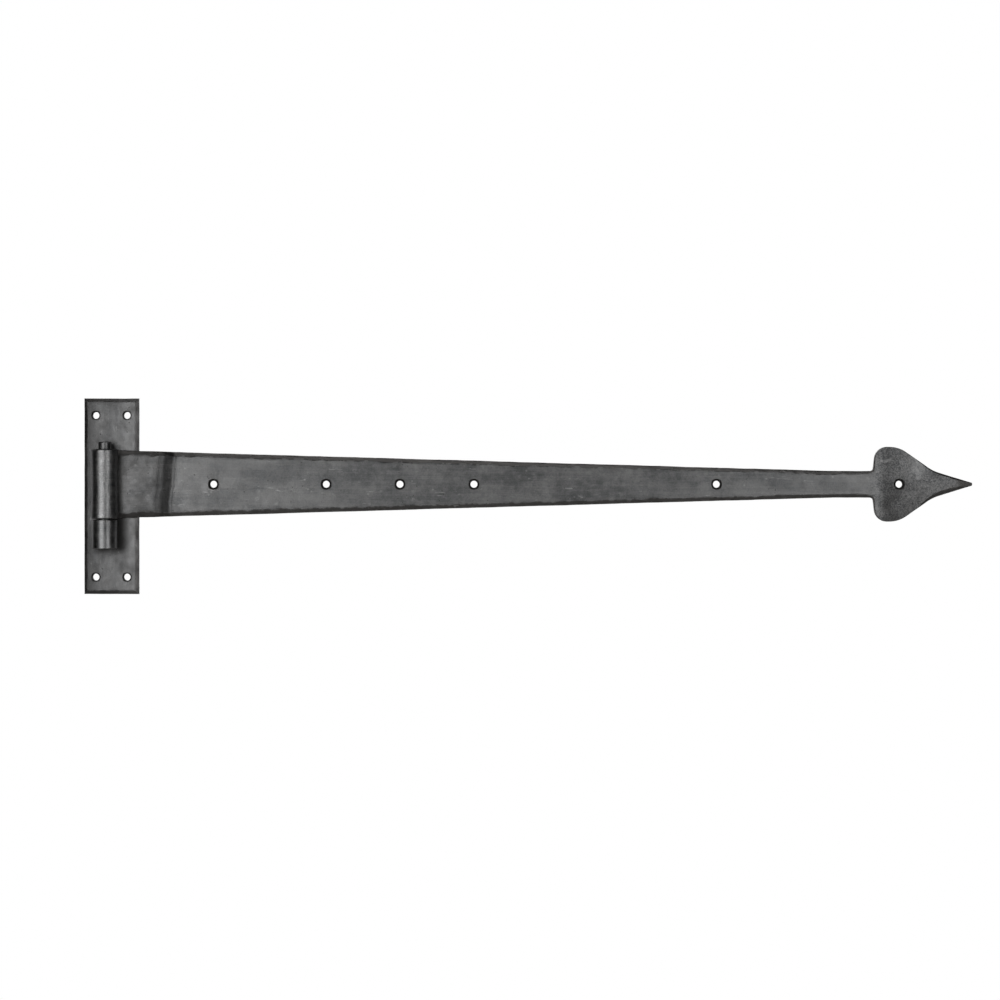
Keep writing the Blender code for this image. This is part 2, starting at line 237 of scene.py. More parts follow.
def s_bend(depth, run, radius):
    """Stretches of a step sideways: a left bend, a straight and a right bend."""
    reach = math.hypot(run, 2 * radius - depth)
    angle = math.asin(2 * radius / reach) - math.atan2(2 * radius - depth, run)
    straight = (run - 2 * radius * math.sin(angle)) / math.cos(angle)
    bend = radius * angle
    return [(bend, 1 / radius), (straight, 0.0), (bend, -1 / radius)]


def filled(forced, steps):
    """The forced values, with evenly spaced ones between, no wider than steps.

    steps holds (value, step) pairs, and a gap takes the step at its middle.
    """
    forced = np.unique(np.round(np.asarray(forced, float), 7))
    forced = forced[np.concatenate([[True], np.diff(forced) > 4e-5])]
    middles = (forced[1:] + forced[:-1]) / 2
    step = np.interp(middles, *np.array(steps).T)
    counts = np.maximum(1, np.ceil(np.diff(forced) / step)).astype(int)
    gaps = zip(forced, forced[1:], counts)
    runs = [np.linspace(a, b, n, endpoint=False) for a, b, n in gaps]
    return np.concatenate([*runs, forced[-1:]])


# --- Slabs: two faces on one grid, joined round the rim ---


def grid_numbers(grid):
    """Vertex numbers for the points of an (I, J, ...) grid."""
    rows, columns = grid.shape[:2]
    return np.arange(rows * columns).reshape(rows, columns)


def rim_of(grid):
    """The outer points of an (I, J, ...) grid, anticlockwise from its first."""
    return np.concatenate([grid[:-1, 0], grid[-1, :-1], grid[:0:-1, -1], grid[0, :0:-1]])


def ring_faces(outer, inner):
    """Quads between two closed rings of vertex numbers."""
    return np.stack([outer, np.roll(outer, -1), np.roll(inner, -1), inner], 1)


def grid_faces(numbers, keep):
    """Quads of a grid of vertex numbers, where keep is true."""
    low, high = numbers[:-1], numbers[1:]
    return np.stack([low[:, :-1], high[:, :-1], high[:, 1:], low[:, 1:]], 2)[keep]


# The arris, chamfer and bore marks of a rim's rings, from the front to the back.
RIM_MARKS = [(1, 0.6, 0), (0, 1, 0), (0, 1, 0), (0.6, 1, 0), (0.6, 1, 0)] + 3 * [(0, 0.6, 0)]


class Slab:
    """A slab's points, as (along, through, across), its faces and marks.

    The face at the lower "through" is the front, the other the back.
    """

    def __init__(self, front, back, rings):
        """front and back are (I, J, 3) grids; rings lie between their rims."""
        self.size = front.shape[:2]
        self.front, self.back = front, back
        self.points = [front.reshape(-1, 3), back.reshape(-1, 3), *rings]
        self.front_numbers = grid_numbers(front)
        self.back_numbers = self.front_numbers + self.front_numbers.size
        self.count = 2 * self.front_numbers.size
        self.marks = [np.zeros((self.count, 3))]
        numbers = [rim_of(self.front_numbers)]
        for ring, mark in zip(rings, RIM_MARKS):
            numbers.append(self.count + np.arange(len(ring)))
            self.count += len(ring)
            self.marks.append(np.tile(mark, (len(ring), 1)))
        numbers.append(rim_of(self.back_numbers))
        self.faces = [ring_faces(b, a) for a, b in zip(numbers, numbers[1:])]
        self.keep = np.ones((self.size[0] - 1, self.size[1] - 1), bool)

    def open_window(self, low, high):
        """Takes out the cells between two (along, across) corners.

        Gives both faces' rings of vertex numbers round the window.
        """
        along, across = self.front[:, self.size[1] // 2, 0], self.front[:, :, 2]
        i = [int(np.abs(along - value).argmin()) for value in (low[0], high[0])]
        row = across[(i[0] + i[1]) // 2]
        j = [int(np.abs(row - value).argmin()) for value in (low[1], high[1])]
        self.keep[i[0] : i[1], j[0] : j[1]] = False
        i, j = slice(i[0], i[1] + 1), slice(j[0], j[1] + 1)
        return rim_of(self.front_numbers[i, j]), rim_of(self.back_numbers[i, j])

    def ring(self, points, bore):
        """Adds one ring of points and gives its numbers."""
        self.points.append(points)
        self.marks.append(np.tile((0.0, 0.0, bore), (len(points), 1)))
        self.count += len(points)
        return np.arange(self.count - len(points), self.count)

    def drill(self, centre, profile):
        """A round hole: square rings of grid blend into the profile's circles.

        profile holds (radius, through) from front to back.
        """
        centre = np.array(centre)
        front, back = self.open_window(centre - HOLE_WINDOW, centre + HOLE_WINDOW)
        square = np.concatenate(self.points)[front][:, [0, 2]] - centre
        unit = square / np.hypot(*square.T)[:, None]
        mouth, foot = profile[0], profile[-1]
        circles = [(0.35, *mouth), (0.7, *mouth)]
        circles += [(1.0, *circle) for circle in profile]
        circles += [(0.7, *foot), (0.35, *foot)]
        numbers = [front]
        for share, radius, through in circles:
            x, z = (square + (unit * radius - square) * share + centre).T
            points = np.stack([x, np.full(len(x), through), z], 1)
            numbers.append(self.ring(points, float(share == 1.0)))
        numbers.append(back)
        self.faces += [ring_faces(a, b) for a, b in zip(numbers, numbers[1:])]

    def slot(self, low, high):
        """A rectangular hole with square walls, between two grid corners."""
        front, back = self.open_window(low, high)
        self.faces.append(ring_faces(front, back))

    def finished(self):
        """All the points, the quads, and the marks: arris, chamfer and bore."""
        front = grid_faces(self.front_numbers, self.keep)
        back = grid_faces(self.back_numbers, self.keep)[:, ::-1]
        parts = self.points, [front, back, *self.faces], self.marks
        return tuple(np.concatenate(part) for part in parts)


def rim_rings(front, back, outer, front_depth, back_depth, thickness):
    """Rings that carry a chamfered rim from the front's edge round to the back's.

    Each point goes from the front's rim to the outline along a flat chamfer,
    rounded a little at both ends, then down the side to the back's rim.
    """
    near, far = rim_of(front)[:, [0, 2]], rim_of(back)[:, [0, 2]]
    face, side = -thickness / 2, thickness / 2
    rings = []

    def add(flat, through):
        rings.append(np.stack([flat[:, 0], through, flat[:, 1]], 1))

    for share, depth in ((0.06, 0.03), (0.34, 0.31), (0.66, 0.65), (0.93, 0.94)):
        add(near + (outer - near) * share, face + front_depth * depth)
    settled = face + front_depth
    edge = side - back_depth
    add(outer, settled + (edge - settled) * 0.18)
    add(outer, (settled + edge) / 2)
    add(outer, edge - (edge - settled) * 0.08)
    add(far + (outer - far) * 0.55, side - back_depth * 0.45)
    return rings


# --- Meshes ---

# Mark names: the third brightens the colour as a painted highlight, and the last darkens it,
# mostly as painted shade.
MARKS = ("arris", "chamfer", "rubbed", "sandy", "corner")


def placed(name, data):
    """A new object in the scene, which shows the data."""
    made = bpy.data.objects.new(name, data)
    bpy.context.scene.collection.objects.link(made)
    return made


def vertex_normals(points, faces):
    """Unit normals of the vertices: the sum of their quads' crossed diagonals."""
    a, b, c, d = (points[faces[:, k]] for k in range(4))
    crossed = np.cross(c - a, d - b)
    normals = np.zeros_like(points)
    for k in range(4):
        np.add.at(normals, faces[:, k], crossed)
    length = np.linalg.norm(normals, axis=1, keepdims=True)
    return normals / np.maximum(length, 1e-20)


def add_piece(name, shape, material, body, node):
    """A mesh with its marks as attributes, which rides on a body for a CAD node.

    A shape is points, quads, bar and marks.  bar holds where each point was on
    the straight bar, before it was bent, for grain that follows the bend.
    Points that fall together, at a pole, become one.
    """
    points, faces, flat, marks = shape
    mesh = bpy.data.meshes.new(name)
    mesh.from_pydata(points, [], faces)
    bar = mesh.attributes.new("bar", "FLOAT_VECTOR", "POINT")
    bar.data.foreach_set("vector", flat.astype(np.float32).ravel())
    for key, values in marks.items():
        mark = mesh.attributes.new(key, "FLOAT", "POINT")
        mark.data.foreach_set("value", values.astype(np.float32))
    clean = bmesh.new()
    clean.from_mesh(mesh)
    bmesh.ops.remove_doubles(clean, verts=clean.verts, dist=1e-7)
    clean.to_mesh(mesh)
    clean.free()
    mesh.shade_smooth()
    mesh.set_sharp_from_angle(angle=math.radians(38))
    mesh.materials.append(material)
    piece = placed(name, mesh)
    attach(piece, body)
    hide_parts(node)


def marked(marks, **others):
    """The attributes of a shape: its slab's marks, and others, 0 where absent.

    The walls of holes count as corners, and take painted shade.
    """
    named = {key: others.get(key, np.zeros(len(marks))) for key in MARKS}
    named["arris"], named["chamfer"] = marks[:, 0], marks[:, 1]
    # Painted shade in the holes' walls.
    named["corner"] = np.maximum(named["corner"], 1.15 * marks[:, 2])
    return named


def hammered(points, faces, bore, broad, fine, seed):
    """Points sunk along their normals by broad dents and a fine ripple.

    The broad dents are the square of noise on 13 mm and 6 mm cells, so most of
    a face stays flat; the ripple is noise on 2 mm cells.  Nothing is raised.
    """
    dents = 0.62 * noise(points, 0.013, seed) ** 2 + 0.38 * noise(points, 0.006, seed + 1) ** 2
    ripple = 0.5 + 0.5 * noise(points, 0.002, seed + 2)
    sunk = SKIN + (broad * dents + fine * ripple) * (1 - bore)
    return points - vertex_normals(points, faces) * sunk[:, None]


def hole_profile(thickness, sink_radius):
    """(radius, through) down a screw hole's wall, with broken edges."""
    face, side, broken = -thickness / 2, thickness / 2, 0.00012
    if sink_radius > HOLE_RADIUS:
        mouth = [
            (sink_radius + broken, face),
            (sink_radius - broken, face + broken),
            (HOLE_RADIUS + broken, face + SINK_DEPTH - broken),
            (HOLE_RADIUS, face + SINK_DEPTH + broken),
        ]
    else:
        mouth = [(HOLE_RADIUS + 4 * broken, face), (HOLE_RADIUS, face + 4 * broken)]
    foot = [(HOLE_RADIUS, side - broken), (HOLE_RADIUS + broken, side)]
    return mouth + [(HOLE_RADIUS, 0.0)] + foot


# --- Shader groups ---


class Nodes:
    """A short way to fill a node tree."""

    def __init__(self, tree):
        self.tree, self.link = tree, tree.links.new

    def add(self, kind, inputs=None, **settings):
        """A node with its properties set and its inputs linked or filled."""
        node = self.tree.nodes.new(kind)
        for key, value in settings.items():
            setattr(node, key, value)
        for key, value in (inputs or {}).items():
            if isinstance(value, bpy.types.NodeSocket):
                self.link(value, node.inputs[key])
            else:
                node.inputs[key].default_value = value
        return node

    def math(self, operation, *values, clamp=False):
        """The result of a Math node."""
        inputs = dict(enumerate(values))
        node = self.add("ShaderNodeMath", inputs, operation=operation, use_clamp=clamp)
        return node.outputs[0]

    def times(self, *values):
        """The product of two values, plus a third if it is given."""
        return self.math("MULTIPLY_ADD" if len(values) > 2 else "MULTIPLY", *values)

    def attribute(self, name, output):
        """A mesh attribute, as Vector or Fac."""
        node = self.add("ShaderNodeAttribute", attribute_name=name)
        return node.outputs[output]

    def shifted(self, vector, amount):
        """A vector moved along its first axis."""
        shift = self.add("ShaderNodeCombineXYZ", {"X": amount}).outputs[0]
        node = self.add("ShaderNodeVectorMath", {0: vector, 1: shift}, operation="ADD")
        return node.outputs[0]

    def mixed(self, factor, first, second):
        """A colour part of the way from the first to the second."""
        inputs = {0: factor, 6: first, 7: second}
        return self.add("ShaderNodeMix", inputs, data_type="RGBA").outputs[2]

    def noise(self, vector, scale, detail=4.0, roughness=0.55):
        """Noise on a vector, scaled per metre."""
        inputs = {"Vector": vector, "Scale": scale, "Detail": detail, "Roughness": roughness}
        return self.add("ShaderNodeTexNoise", inputs).outputs["Fac"]

    def stretched(self, vector, scale):
        """A vector scaled by its own factor on each axis."""
        inputs = {"Vector": vector, "Scale": scale}
        return self.add("ShaderNodeMapping", inputs).outputs["Vector"]

    def between(self, value, low, high, to_low=0.0, to_high=1.0):
        """A value brought from one range to another, smoothly, and clamped."""
        inputs = {0: value, 1: low, 2: high, 3: to_low, 4: to_high}
        node = self.add("ShaderNodeMapRange", inputs, interpolation_type="SMOOTHSTEP")
        return node.outputs[0]


def new_group(name, inputs, outputs):
    """An empty shader group with float or vector sockets, and its two ends."""
    tree = bpy.data.node_groups.new(name, "ShaderNodeTree")
    for socket, value in inputs.items():
        kind = "NodeSocketVector" if value is None else "NodeSocketFloat"
        made = tree.interface.new_socket(socket, in_out="INPUT", socket_type=kind)
        if value is not None:
            made.default_value = value
    for socket in outputs:
        tree.interface.new_socket(socket, in_out="OUTPUT", socket_type="NodeSocketFloat")
    nodes = Nodes(tree)
    start = nodes.add("NodeGroupInput").outputs
    end = nodes.add("NodeGroupOutput").inputs
    return nodes, start, end


def draw_lines_group():
    """Fine lines drawn along the bar: noise stretched 60 to 1 along it."""
    nodes, given, out = new_group("draw_lines", {"Bar": None}, ["Lines", "Bands"])
    fine = nodes.stretched(given["Bar"], (40.0, 2200.0, 2200.0))
    wide = nodes.stretched(given["Bar"], (14.0, 420.0, 420.0))
    nodes.link(nodes.between(nodes.noise(fine, 1.0, 3.0, 0.6), 0.3, 0.7), out["Lines"])
    nodes.link(nodes.between(nodes.noise(wide, 1.0, 3.0), 0.32, 0.68), out["Bands"])
    return nodes.tree


def scale_mottle_group():
    """Clouds left by forge scale and wax: three sizes of noise on the bar."""
    nodes, given, out = new_group(
        "scale_mottle", {"Bar": None, "Seed": 0.0}, ["Clouds", "Blotches", "Grain"]
    )
    moved = nodes.shifted(given["Bar"], given["Seed"])
    flat = nodes.stretched(moved, (0.55, 1.0, 1.0))
    nodes.link(nodes.between(nodes.noise(flat, 60.0, 3.0), 0.34, 0.66), out["Clouds"])
    nodes.link(nodes.between(nodes.noise(moved, 260.0, 4.0, 0.6), 0.34, 0.68), out["Blotches"])
    nodes.link(nodes.between(nodes.noise(moved, 1150.0, 4.0, 0.65), 0.3, 0.7), out["Grain"])
    return nodes.tree


def nicks_group():
    """Pits, bright rubs, broad smudges and fine scratches.

    A pit is the heart of a cell, kept where a coarser noise is high.  Rubs and
    smudges are wider hearts of other sizes of cell.  A scratch is the thin line where
    noise stretched along the bar crosses its middle, cut short by a coarser
    noise, at two slants.
    """
    nodes, given, out = new_group(
        "nicks", {"Bar": None, "Seed": 0.0}, ["Pits", "Rubs", "Smudges", "Scratches"]
    )
    moved = nodes.shifted(given["Bar"], given["Seed"])
    for name, scale, wide, patch, low in (
        ("Pits", 420.0, 0.24, 120.0, 0.54),
        ("Rubs", 330.0, 0.34, 90.0, 0.60),
        ("Smudges", 130.0, 0.30, 40.0, 0.56),
    ):
        cell = nodes.add("ShaderNodeTexVoronoi", {"Vector": moved, "Scale": scale})
        heart = nodes.between(cell.outputs["Distance"], 0.05, wide, 1.0, 0.0)
        where = nodes.between(nodes.noise(moved, patch, 2.0), low, low + 0.12)
        nodes.link(nodes.times(heart, where), out[name])
    found = []
    for slant, scale, rare in ((0.10, 420.0, 0.60), (-0.85, 300.0, 0.57)):
        turn = {"Vector": moved, "Rotation": (0.0, slant, 0.0), "Scale": (0.05, 1.0, 1.0)}
        turned = nodes.add("ShaderNodeMapping", turn).outputs["Vector"]
        wave = nodes.math("SUBTRACT", nodes.noise(turned, scale, 1.0), 0.5)
        line = nodes.between(nodes.math("ABSOLUTE", wave), 0.0, 0.016, 1.0, 0.0)
        part = nodes.between(nodes.noise(moved, scale * 0.35, 2.0), rare, rare + 0.08)
        found.append(nodes.times(line, part))
    nodes.link(nodes.math("MAXIMUM", *found), out["Scratches"])
    return nodes.tree


# Red, green and blue per tone of blue black, warm grey, brown, bright metal for wear and painted
# highlights, and black for pits and painted shade.
STEEL = [(0.46, 0.48, 0.50), (1.54, 1.53, 1.52), (0.62, 0.58, 0.55)]
STEEL += [(2.7, 2.7, 2.7), (0.22, 0.21, 0.20)]


def emptied(owner):
    """A material's or world's nodes, cleared away, and a short way to add them."""
    owner.use_nodes = True
    owner.node_tree.nodes.clear()
    return Nodes(owner.node_tree)


def principled(nodes, inputs):
    """Ends a material in a Principled shader."""
    shader = nodes.add("ShaderNodeBsdfPrincipled", inputs)
    nodes.add("ShaderNodeOutputMaterial", {"Surface": shader.outputs[0]})


def steel_colour(nodes, tone, drawn, mottle, nicks, marks):
    """The steel's colour, and where it is blackened by pits and painted shade.

    Weighted noises mix a blue black and a warm grey.  Chamfers go brown; arrises, whose wear is
    partly a painted highlight, rubs, scratches, smudges and the painted highlights go bright;
    pits and the painted shade in corners go black.
    """
    mix = 0.0
    for value, weight in (
        (mottle["Clouds"], 0.30),
        (mottle["Blotches"], 0.22),
        (mottle["Grain"], 0.20),
        (drawn["Lines"], 0.16),
        (drawn["Bands"], 0.12),
    ):
        mix = nodes.times(value, weight, mix)
    sand = nodes.math("SUBTRACT", mottle["Grain"], 0.5)
    sand = nodes.times(sand, marks["sandy"])
    mix = nodes.times(sand, 0.80, mix)
    blue, warm, brown, bare_and_highlight, soot_and_shade_black = ((*(c * tone for c in rgb), 1.0) for rgb in STEEL)
    colour = nodes.mixed(mix, blue, warm)
    colour = nodes.mixed(nodes.times(marks["chamfer"], 0.72), colour, brown)

    patchy = nodes.between(mottle["Blotches"], 0.42, 0.80)
    # Arrises: partly edge wear, partly a painted highlight along the chamfer's edge.
    edge = nodes.times(nodes.times(marks["arris"], patchy), 0.42)
    nick = nodes.math("MAXIMUM", nicks["Rubs"], nicks["Scratches"])
    nick = nodes.times(nick, 0.50)
    smudge = nodes.times(nicks["Smudges"], mottle["Grain"])
    nick = nodes.math("MAXIMUM", nick, nodes.times(smudge, 0.36))
    # Painted highlights from the mesh's marks, the third of them.
    rubbed = nodes.times(marks["rubbed"], 0.36)
    wear_and_highlight = nodes.math("MAXIMUM", nodes.math("MAXIMUM", edge, nick), rubbed)
    colour = nodes.mixed(wear_and_highlight, colour, bare_and_highlight)

    pits = nodes.times(nicks["Pits"], 0.7)
    # Pits and the burnt tip are blackened; the rest of the corner mark is painted shade and
    # darker patches.
    soot_and_shade = nodes.math("MAXIMUM", pits, nodes.times(marks["corner"], 0.85))
    return nodes.mixed(soot_and_shade, colour, soot_and_shade_black), soot_and_shade


def steel_height(nodes, lines, grain, drawn, mottle, nicks, marks):
    """The height of the draw lines, the scale's grain, the pits and scratches."""
    smooth = nodes.math("SUBTRACT", 1.0, marks["sandy"])
    height = nodes.times(nodes.times(drawn["Lines"], smooth), lines)
    coarse = nodes.times(marks["sandy"], 2.5 * grain, grain)
    height = nodes.times(mottle["Grain"], coarse, height)
    height = nodes.times(mottle["Blotches"], 2.5 * grain, height)
    height = nodes.times(nicks["Pits"], -0.00008, height)
    return nodes.times(nicks["Scratches"], -0.00001, height)


def forged_steel(name, groups, tone, rough, lines, grain, seed):
    """Dark waxed steel, lighter with wear and painted highlights, black in pits and under painted
    shade in its corners.

    tone is how much light the middle of the mottling throws back, rough the
    middle roughness, lines and grain the heights in metres of the draw lines
    and of the scale's grain.
    """
    material = bpy.data.materials.new(name)
    nodes = emptied(material)
    bar = nodes.attribute("bar", "Vector")
    marks = {key: nodes.attribute(key, "Fac") for key in MARKS}
    found = []
    for group in groups:
        node = nodes.add("ShaderNodeGroup", node_tree=group)
        nodes.link(bar, node.inputs["Bar"])
        if "Seed" in node.inputs:
            node.inputs["Seed"].default_value = seed
        found.append(node.outputs)
    drawn, mottle, nicks = found
    colour, soot_and_shade = steel_colour(nodes, tone, drawn, mottle, nicks, marks)
    roughness = nodes.times(mottle["Blotches"], 0.10, rough - 0.08)
    roughness = nodes.times(drawn["Lines"], 0.06, roughness)
    roughness = nodes.math("MULTIPLY_ADD", soot_and_shade, 0.20, roughness, clamp=True)
    height = steel_height(nodes, lines, grain, drawn, mottle, nicks, marks)
    bump = nodes.add("ShaderNodeBump", {"Height": height, "Strength": 1.0, "Distance": 1.0})
    surface = {"Base Color": colour, "Roughness": roughness, "Metallic": 1.0}
    principled(nodes, {**surface, "Normal": bump.outputs[0]})
    return material


# --- The band ---


def band_bend():
    """The band's path in plan: round the eye, past the step, to the point."""
    roll_radius = BORE_RADIUS + BAND_THICKNESS / 2
    end_angle = math.asin((BORE_RADIUS - ROLL_SEAM) / EYE_RADIUS)
    start = roll_radius * math.cos(end_angle), PIN_Y + roll_radius * math.sin(end_angle)
    roll = (roll_radius * (end_angle + math.radians(270)), -1 / roll_radius)
    depth = -PIN_Y - EYE_RADIUS
    step = s_bend(depth, STEP_RUN, STEP_BEND_RADIUS)
    flat = TIP_X - STEP_START - STEP_RUN
    return start, end_angle - math.pi / 2, [roll, (STEP_START, 0.0), *step, (flat, 0.0)]


class BandStations:
    """Where things begin and end on the straight band, from its rolled end.

    ends holds the ends of the path's stretches: the roll, the raised stretch,
    the step's first bend, its straight and its second bend, and the strap.
    """

    def __init__(self):
        self.start, self.heading, self.stretches = band_bend()
        self.ends = np.cumsum([length for length, _ in self.stretches])
        self.roll_end, self.end = self.ends[0], self.ends[-1]
        self.flat_start = self.end - (TIP_X - STEP_START - STEP_RUN)
        self.eye_side = self.roll_end - (BORE_RADIUS + BAND_THICKNESS / 2) * math.pi / 2
        self.root = self.roll_end + EYE_RADIUS
        self.neck = self.end - FINIAL_LENGTH
        holes = [self.flat_start + x - STEP_START - STEP_RUN for x in BAND_HOLES]
        self.holes = np.array([*holes, self.end - FINIAL_HOLE_FROM_TIP])


def band_outline(at):
    """Half width along the band, with the finial's sides as lines and arcs."""
    half = FINIAL_WIDTH / 2 - SKIN
    corners = [
        (0.0, EYE_HEIGHT / 2, 0.0),
        (at.eye_side, EYE_HEIGHT / 2, 0.0),
        (at.root, ROOT_WIDTH / 2, 0.0),
        (at.neck - NECK_LENGTH, END_WIDTH / 2, 0.0),
        (at.neck, END_WIDTH / 2, NECK_FILLET),
        (at.neck + FINIAL_SHOULDER, half, 0.0090),
        (at.neck + FINIAL_BELLY, half, 0.0200),
        (at.neck + FINIAL_WAIST, FINIAL_WAIST_WIDTH / 2, 0.0300),
        (at.end, 0.0010, 0.0009),
        (at.end, 0.0, 0.0),
    ]
    points, headings = rounded(corners)
    return points[:-1], headings[:-1]


def band_lines(at, outline):
    """Where the grid's cross lines lie, close together where the band turns."""
    near_hole = np.abs(outline[:, :1] - at.holes) < HOLE_WINDOW + HOLE_MARGIN
    windows = np.concatenate([at.holes - HOLE_WINDOW, at.holes + HOLE_WINDOW])
    turns = outline[~near_hole.any(axis=1), 0]
    forced = np.concatenate([turns, at.ends[:-1], windows])
    in_window = np.abs(forced[:, None] - at.holes) < HOLE_WINDOW - HOLE_MARGIN
    steps = [(0.0, 0.00045), (at.roll_end, 0.00045)]
    steps += [(at.root, 0.0012), (at.ends[1], 0.0012)]
    steps += [(at.ends[1] + 0.0005, 0.0007), (at.ends[4], 0.0007)]
    steps += [(at.flat_start + 0.001, 0.0018), (at.neck - 0.003, 0.0018)]
    steps += [(at.neck, 0.0004), (at.neck + 0.012, 0.0008)]
    steps += [(at.end - 0.006, 0.0008), (at.end, 0.0003)]
    s = filled(forced[~in_window.any(axis=1)], steps)
    outside = (np.abs(s[:, None] - at.holes) > HOLE_WINDOW - 1e-5).all(axis=1)
    cells = np.linspace(-HOLE_WINDOW, HOLE_WINDOW, HOLE_CELLS + 1)[1:-1]
    dense = at.holes[:, None] + cells
    return np.sort(np.concatenate([s[outside], dense.ravel()]))


def band_edges(at, s, half):
    """Each side's chamfer width and depth, and its outline's half width.

    Along the strap the chamfers are hammered, and at the leaf's tip they widen
    again, most of all on the lower side.
    """
    taper = np.interp(s, [at.root, at.neck], [1.0, 0.78])
    strap_ends = [at.roll_end, at.root, at.neck - 0.004, at.neck + 0.002]
    on_strap = np.interp(s, strap_ends, [0, 1, 1, 0])
    leaf = np.interp(s, [at.neck - 0.001, at.neck + 0.002], [0, 1])
    bevel_ends = [at.end - 0.039, at.end - 0.022, at.end - 0.012, at.end - 0.002]
    tip_bevel = np.interp(s, bevel_ends, [0, 1, 1, 0])
    edges = {}
    for side, seed, strap_width, tip_width in CHAMFERS:
        blows = hammer_blows(s, 0.005, 0.030, seed)
        ragged = 0.10 * line_noise(s, 0.0035, seed + 1) + 0.08 * line_noise(s, 0.012, seed)
        width = strap_width * taper * (0.86 + 0.28 * blows + ragged)
        width = width * on_strap + LEAF_EDGE * (1 - on_strap) + tip_width * tip_bevel * leaf
        struck = (0.0011 + 0.0004 * blows) * on_strap
        depth = LEAF_EDGE + struck + 0.0010 * tip_bevel * leaf
        wave = 0.5 + 0.5 * line_noise(s, 0.021, seed + 2)
        ripple = 0.5 + 0.5 * line_noise(s, 0.006, seed + 3)
        inward = (0.00018 * wave + 0.00008 * ripple) * on_strap + 0.00003
        edges[side] = (width, depth, half - inward)
    return edges


def band_slab(at):
    """The flat band as a slab: its faces' grids follow the outline.

    Rows within a hole's window keep their distance from the centreline, and
    the rows outside spread to the chamfer's edge.  At the rolled end the front
    face is drawn back to a wedge.
    """
    outline, slopes = band_outline(at)
    s = band_lines(at, outline)
    slope = np.interp(s, outline[:, 0], slopes)
    edges = band_edges(at, s, np.interp(s, *outline.T))
    back_inset = np.interp(s, [at.eye_side, at.flat_start], [0.0009, 0.0004])
    rows = np.linspace(-1, 1, HOLE_CELLS + 1)
    outer = np.linspace(0, 1, 10)[1:]
    tightest = np.minimum(*(edges[side][2] - edges[side][0] for side in edges))
    core = HOLE_WINDOW * np.clip(tightest / (HOLE_WINDOW + 0.0012), 0, 1)

    def face(insets, through, shift):
        """One face's grid: core rows, and rows spread to each inset edge."""
        columns = []
        for side in (-1, 1):
            reach = edges[side][2] - insets[side]
            spread = core[:, None] + (reach - core)[:, None] * outer
            drawn = (insets[side] * np.sin(slope))[:, None] * outer
            columns.append((side * spread, drawn))
        low, high = columns
        z = np.hstack([low[0][:, ::-1], core[:, None] * rows, high[0]])
        pad = np.zeros((len(s), len(rows)))
        along = np.hstack([low[1][:, ::-1], pad, high[1]]) + (s - shift)[:, None]
        return np.stack([along, np.full_like(z, through), z], 2)

    fade = np.maximum(0, 1 - s / ROLL_SCARF_REACH)
    chamfers = {side: edges[side][0] for side in edges}
    front = face(chamfers, -BAND_THICKNESS / 2, ROLL_SCARF * fade)
    back = face({side: back_inset for side in edges}, BAND_THICKNESS / 2, 0.0)
    lean = np.clip((front[0, 0, 0] - s[0]) * 0.5, -1, 0)
    low_rim = np.stack([s + lean * fade, -edges[-1][2]], 1)
    high_rim = np.stack([s + lean * fade, edges[1][2]], 1)
    i, j = np.divmod(rim_of(grid_numbers(front)), front.shape[1])
    share = (front[i, j, 2] - front[i, 0, 2]) / (front[i, -1, 2] - front[i, 0, 2])
    rim = low_rim[i] + (high_rim[i] - low_rim[i]) * share[:, None]
    depth = np.where(share > 0.5, edges[1][1][i], edges[-1][1][i])
    rings = rim_rings(front, back, rim, depth, back_inset[i], BAND_THICKNESS)
    slab = Slab(front, back, rings)
    for hole in at.holes:
        slab.drill((hole, 0.0), hole_profile(BAND_THICKNESS, SINK_RADIUS))
    return slab


